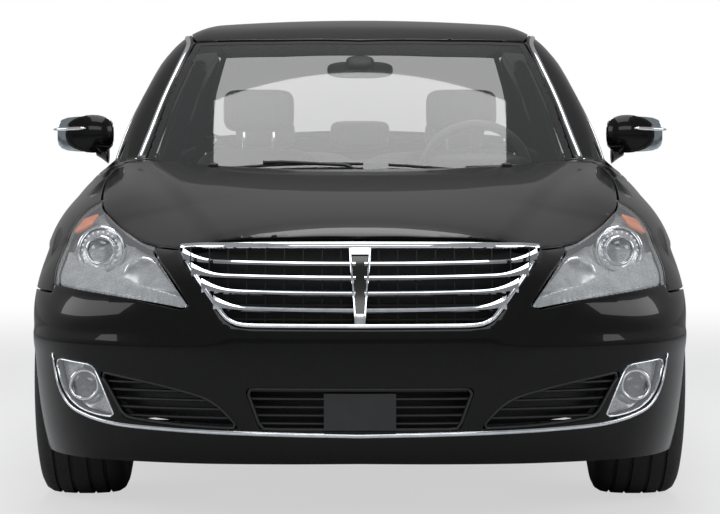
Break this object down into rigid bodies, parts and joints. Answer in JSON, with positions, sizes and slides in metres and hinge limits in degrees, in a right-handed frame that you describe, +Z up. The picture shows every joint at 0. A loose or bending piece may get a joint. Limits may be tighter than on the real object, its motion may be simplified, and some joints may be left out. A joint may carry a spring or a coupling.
{
  "type": "full-size luxury sedan car",
  "caption": "Four-door full-size sedan with opening doors, hood and trunk lid, steered front wheels and a hollow cabin with seats.",
  "frame": {"origin": "on the floor below the middle of the car's length and width", "axes": "+Z up, front of the car towards -Y, +X towards the car's left side where the driver sits"},
  "size_m": [2.0396, 5.1622, 1.4893],
  "materials": {
    "black_paint": "deep gloss black clear coat",
    "window_glass": "lightly tinted safety glass",
    "rim_alloy": "machined and lacquered alloy",
    "tyre_rubber": "matt black rubber",
    "cast_knuckle": "raw cast",
    "floor_steel": "dark underbody coating",
    "grille_chrome": "bright chrome bars",
    "black_plastic": "grained black plastic",
    "lamp_clear": "clear moulded lens over bright reflectors",
    "lamp_red": "red moulded lens",
    "dash_vinyl": "soft grained trim",
    "seat_leather": "grey leather with seams",
    "engine_iron": "cast block and covers",
    "frame_steel": "black chassis paint",
    "exhaust_steel": "dull stainless",
    "wheel_leather": "black stitched leather"
  },
  "bodies": {
    "car_body": {"floor_pan": "floor_steel", "side_frames": "black_paint", "front_fenders": "black_paint", "rear_quarters": "black_paint", "roof_panel": "black_paint", "front_bumper": "black_paint", "rear_bumper": "black_paint", "grille": "grille_chrome", "bumper_grilles": "black_plastic", "front_lamps": "lamp_clear", "tail_lamps": "lamp_red", "windshield": "window_glass", "rear_window": "window_glass", "cowl": "black_plastic", "dashboard": "dash_vinyl", "seats": "seat_leather", "interior_mirror": "black_plastic", "engine": "engine_iron", "radiator": "floor_steel", "front_suspension": "frame_steel", "rear_suspension": "frame_steel", "exhaust_and_drive_shaft": "exhaust_steel"},
    "hood": {"hood": "black_paint"},
    "trunk_lid": {"trunk_lid": "black_paint"},
    "steering_wheel": {"steering_wheel": "wheel_leather"},
    "front_door_left": {"front_door_left": "black_paint", "front_glass_left": "window_glass", "door_mirror_left": "black_paint"},
    "rear_door_left": {"rear_door_left": "black_paint", "rear_glass_left": "window_glass"},
    "knuckle_left": {"knuckle_left": "cast_knuckle"},
    "wheel_front_left": {"rim_front_left": "rim_alloy", "tyre_front_left": "tyre_rubber"},
    "wheel_rear_left": {"rim_rear_left": "rim_alloy", "tyre_rear_left": "tyre_rubber"},
    "front_door_right": {"front_door_right": "black_paint", "front_glass_right": "window_glass", "door_mirror_right": "black_paint"},
    "rear_door_right": {"rear_door_right": "black_paint", "rear_glass_right": "window_glass"},
    "knuckle_right": {"knuckle_right": "cast_knuckle"},
    "wheel_front_right": {"rim_front_right": "rim_alloy", "tyre_front_right": "tyre_rubber"},
    "wheel_rear_right": {"rim_rear_right": "rim_alloy", "tyre_rear_right": "tyre_rubber"}
  },
  "joints": [
    {"name": "hood_hinge", "type": "hinge", "parent": "car_body", "child": "hood", "pos_m": [0, -1.04, 0.944], "axis": [-1, 0, 0], "range_deg": [0, 55]},
    {"name": "trunk_hinge", "type": "hinge", "parent": "car_body", "child": "trunk_lid", "pos_m": [0, 1.795, 1.06], "axis": [1, 0, 0], "range_deg": [0, 75]},
    {"name": "front_door_left_hinge", "type": "hinge", "parent": "car_body", "child": "front_door_left", "pos_m": [0.918, -0.98, 0.575], "axis": [0, 0, -1], "range_deg": [0, 66]},
    {"name": "rear_door_left_hinge", "type": "hinge", "parent": "car_body", "child": "rear_door_left", "pos_m": [0.918, 0.195, 0.575], "axis": [0, 0, -1], "range_deg": [0, 66]},
    {"name": "front_door_right_hinge", "type": "hinge", "parent": "car_body", "child": "front_door_right", "pos_m": [-0.918, -0.98, 0.575], "axis": [0, 0, 1], "range_deg": [0, 66]},
    {"name": "rear_door_right_hinge", "type": "hinge", "parent": "car_body", "child": "rear_door_right", "pos_m": [-0.918, 0.195, 0.575], "axis": [0, 0, 1], "range_deg": [0, 66]},
    {"name": "steer_left", "type": "hinge", "parent": "car_body", "child": "knuckle_left", "pos_m": [0.69, -1.7, 0.3515], "axis": [0, 0, 1], "range_deg": [-35, 35]},
    {"name": "steer_right", "type": "hinge", "parent": "car_body", "child": "knuckle_right", "pos_m": [-0.69, -1.7, 0.3515], "axis": [0, 0, 1], "range_deg": [-35.5, 35.5]},
    {"name": "steering_wheel_turn", "type": "hinge", "parent": "car_body", "child": "steering_wheel", "pos_m": [0.387, -0.58, 0.94], "axis": [0, 0.9063, 0.4226], "range_deg": [-500, 500]},
    {"name": "wheel_front_left_spin", "type": "hinge", "parent": "knuckle_left", "child": "wheel_front_left", "pos_m": [0.8, -1.7, 0.3515], "axis": [1, 0, 0], "continuous": true},
    {"name": "wheel_rear_left_spin", "type": "hinge", "parent": "car_body", "child": "wheel_rear_left", "pos_m": [0.8, 1.345, 0.3515], "axis": [1, 0, 0], "continuous": true},
    {"name": "wheel_front_right_spin", "type": "hinge", "parent": "knuckle_right", "child": "wheel_front_right", "pos_m": [-0.8, -1.7, 0.3515], "axis": [1, 0, 0], "continuous": true},
    {"name": "wheel_rear_right_spin", "type": "hinge", "parent": "car_body", "child": "wheel_rear_right", "pos_m": [-0.8, 1.345, 0.3515], "axis": [1, 0, 0], "continuous": true}
  ],
  "couplings": [
    {"joint": "steer_right", "follows": "steer_left", "ratio": 1},
    {"joint": "steering_wheel_turn", "follows": "steer_left", "ratio": -14}
  ]
}
